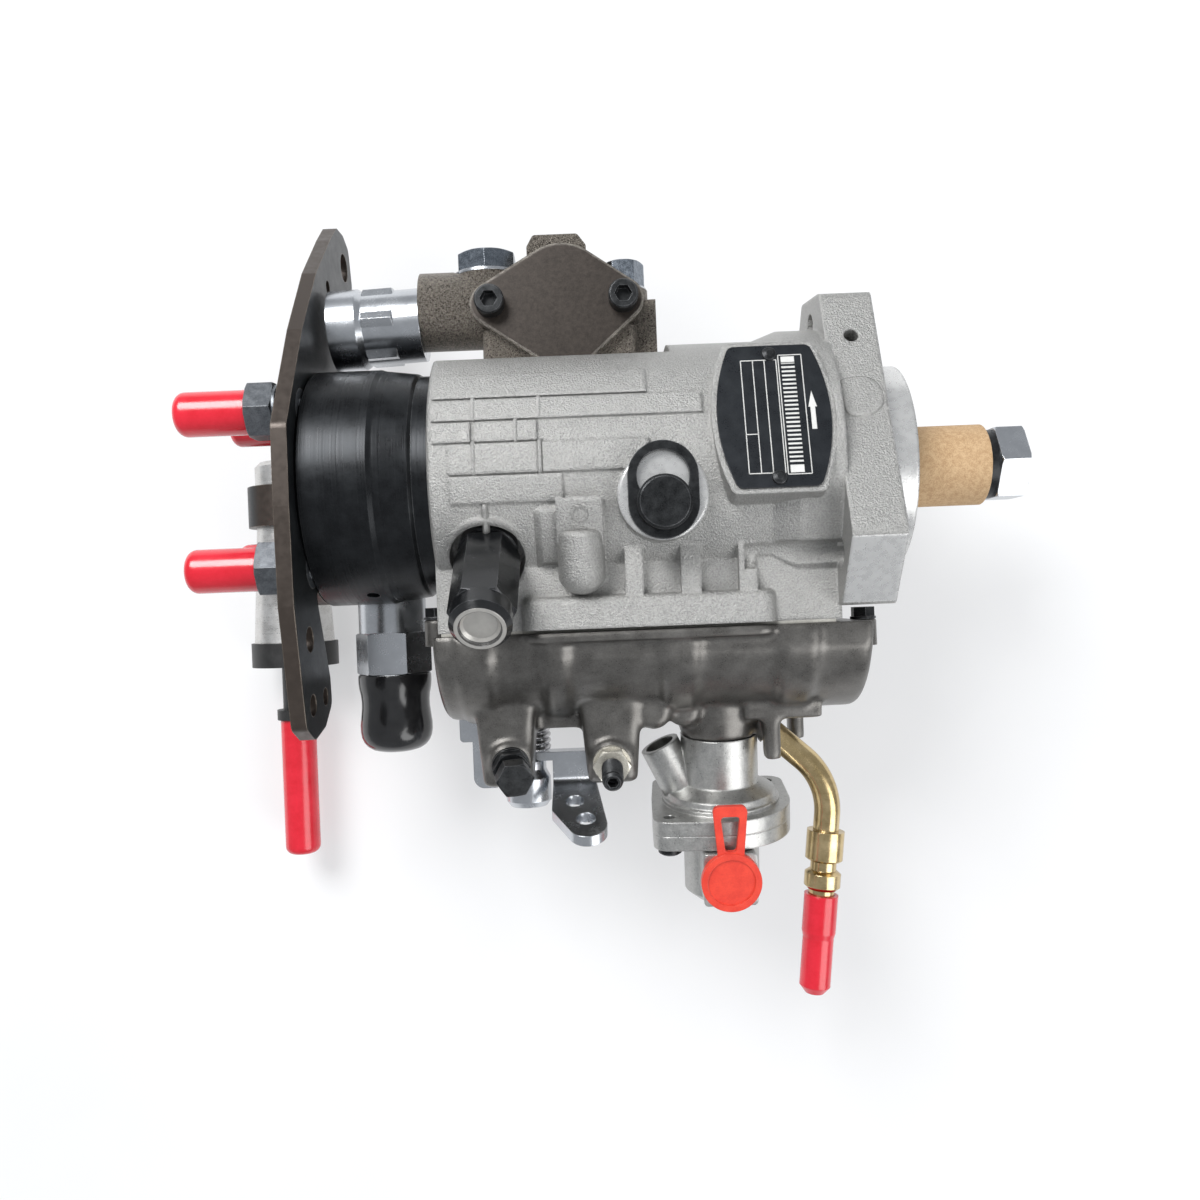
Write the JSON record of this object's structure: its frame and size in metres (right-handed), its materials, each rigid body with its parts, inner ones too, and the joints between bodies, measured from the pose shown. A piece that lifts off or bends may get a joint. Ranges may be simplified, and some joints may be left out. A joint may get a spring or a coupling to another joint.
{
  "type": "diesel injection pump",
  "caption": "Rotary distributor fuel injection pump with flange and keyed tapered shaft, axial delivery unions, governor cover, boost control and capped ports.",
  "frame": {"origin": "on the drive shaft's axis at the flange's mounting face", "axes": "+X along the drive shaft towards the drive end, +Z out of the side that carries the data plate, which is up while the pump lies on a bench, -Y towards the governor cover, which is up when the pump is fitted to its engine"},
  "size_m": [0.2882, 0.2858, 0.1388],
  "materials": {
    "cast_aluminium": "shot-blasted die casting, light grey, satin",
    "dark_aluminium": "darker warm grey die casting, satin",
    "cast_iron": "coarse cast skin",
    "black_steel": "blackened and oiled steel, satin",
    "phosphated_steel": "phosphated steel, matt",
    "steel": "ground steel",
    "bright_steel": "brushed bright steel",
    "zinc": "bright bluish zinc plate",
    "gold_zinc": "yellow passivated zinc plate",
    "bronze": "bearing bronze",
    "rubber": "moulded black rubber",
    "orange_rubber": "moulded orange-red rubber",
    "red_vinyl": "dipped red vinyl",
    "black_vinyl": "dipped black vinyl",
    "black_plastic": "moulded black plastic",
    "kraft_board": "brown kraft board tube",
    "gasket_paper": "pressed fibre sheet",
    "printed_plate": "black plate with pale ruled lines"
  },
  "bodies": {
    "pump": {"pump_body": "cast_aluminium", "hydraulic_head": "black_steel", "head_plugs": "black_steel", "head_liners": "steel", "shaft_bush": "bronze", "oil_seal": "rubber", "bracket_plate": "phosphated_steel", "plate_screws": "black_steel", "outlet_unions": "black_steel", "advance_housing": "cast_iron", "advance_cover": "phosphated_steel", "advance_screws": "zinc", "advance_fitting": "zinc", "advance_plugs": "black_steel", "governor_cover": "dark_aluminium", "governor_gasket": "gasket_paper", "idle_screw": "black_steel", "speed_screw": "black_steel", "stop_locknuts": "zinc", "return_spring": "steel", "lever_bracket": "zinc", "boost_body": "dark_aluminium", "boost_cover": "dark_aluminium", "boost_screws": "black_steel", "boost_diaphragm": "rubber", "inlet_fitting": "zinc", "solenoid_can": "bright_steel", "solenoid_terminal": "black_plastic", "solenoid_clamp": "phosphated_steel", "return_pipe": "gold_zinc", "data_plate": "printed_plate", "plate_rivets": "bright_steel", "adaptor": "black_steel"},
    "shaft": {"drive_shaft": "steel", "shaft_nut": "zinc", "spring_washer": "black_steel", "shaft_sleeve": "kraft_board", "governor_carrier": "steel", "governor_weights": "steel", "rotor": "steel", "plungers": "steel", "cam_rollers": "steel"},
    "thrust": {"thrust_sleeve": "steel"},
    "cam": {"cam_ring": "steel", "cam_stud": "steel"},
    "advance": {"advance_piston": "steel"},
    "lever": {"throttle_shaft": "steel", "throttle_lever": "zinc", "throttle_nut": "zinc"},
    "lock_screw": {"lock_screw": "black_steel"},
    "lock_spacer": {"lock_spacer": "black_steel"},
    "boost_rod": {"boost_rod": "steel"},
    "terminal_cap": {"terminal_cap": "red_vinyl"},
    "inlet_cap": {"inlet_cap": "black_vinyl"},
    "pipe_cap": {"pipe_cap": "red_vinyl"},
    "flag_plug": {"flag_plug": "orange_rubber"},
    "outlet_cap_1": {"outlet_cap_1": "red_vinyl"},
    "outlet_cap_2": {"outlet_cap_2": "red_vinyl"},
    "outlet_cap_3": {"outlet_cap_3": "red_vinyl"},
    "outlet_cap_4": {"outlet_cap_4": "red_vinyl"}
  },
  "joints": [
    {"name": "shaft_turn", "type": "hinge", "parent": "pump", "child": "shaft", "pos_m": [0, 0, 0], "axis": [1, 0, 0], "continuous": true},
    {"name": "thrust_slide", "type": "slide", "parent": "shaft", "child": "thrust", "axis": [-1, 0, 0], "range_m": [0, 0.0025], "stiffness_N_per_m": 400, "springref_m": -0.004},
    {"name": "cam_advance", "type": "hinge", "parent": "pump", "child": "cam", "pos_m": [-0.102, 0, 0], "axis": [1, 0, 0], "range_deg": [0, 6]},
    {"name": "piston_slide", "type": "slide", "parent": "pump", "child": "advance", "axis": [0, 0, 1], "range_m": [0, 0.0064]},
    {"name": "lever_turn", "type": "hinge", "parent": "pump", "child": "lever", "pos_m": [-0.121, -0.09, -0.006], "axis": [0, 1, 0], "range_deg": [0, 35], "stiffness_Nm_per_rad": 0.08, "springref_deg": -34.38},
    {"name": "lock_screw_lift", "type": "slide", "parent": "pump", "child": "lock_screw", "axis": [0, 0, 1], "range_m": [0, 0.004]},
    {"name": "lock_spacer_slide", "type": "slide", "parent": "pump", "child": "lock_spacer", "axis": [0, -1, 0], "range_m": [0, 0.0082]},
    {"name": "boost_stroke", "type": "slide", "parent": "pump", "child": "boost_rod", "axis": [0, -0.9903, -0.1392], "range_m": [0, 0.003], "stiffness_N_per_m": 600, "springref_m": -0.004},
    {"name": "terminal_cap_pull", "type": "slide", "parent": "pump", "child": "terminal_cap", "axis": [0, -1, 0], "range_m": [0, 0.06]},
    {"name": "inlet_cap_pull", "type": "slide", "parent": "pump", "child": "inlet_cap", "axis": [0, -1, 0], "range_m": [0, 0.03]},
    {"name": "pipe_cap_pull", "type": "slide", "parent": "pump", "child": "pipe_cap", "axis": [-0.1115, -0.9938, 0], "range_m": [0, 0.03]},
    {"name": "flag_plug_pull", "type": "slide", "parent": "pump", "child": "flag_plug", "axis": [0, -0.1392, 0.9903], "range_m": [0, 0.02]},
    {"name": "outlet_cap_1_pull", "type": "slide", "parent": "pump", "child": "outlet_cap_1", "axis": [-1, 0, 0], "range_m": [0, 0.03]},
    {"name": "outlet_cap_2_pull", "type": "slide", "parent": "pump", "child": "outlet_cap_2", "axis": [-1, 0, 0], "range_m": [0, 0.03]},
    {"name": "outlet_cap_3_pull", "type": "slide", "parent": "pump", "child": "outlet_cap_3", "axis": [-1, 0, 0], "range_m": [0, 0.03]},
    {"name": "outlet_cap_4_pull", "type": "slide", "parent": "pump", "child": "outlet_cap_4", "axis": [-1, 0, 0], "range_m": [0, 0.03]}
  ],
  "couplings": [
    {"joint": "piston_slide", "follows": "cam_advance", "m_per_rad": 0.06}
  ]
}
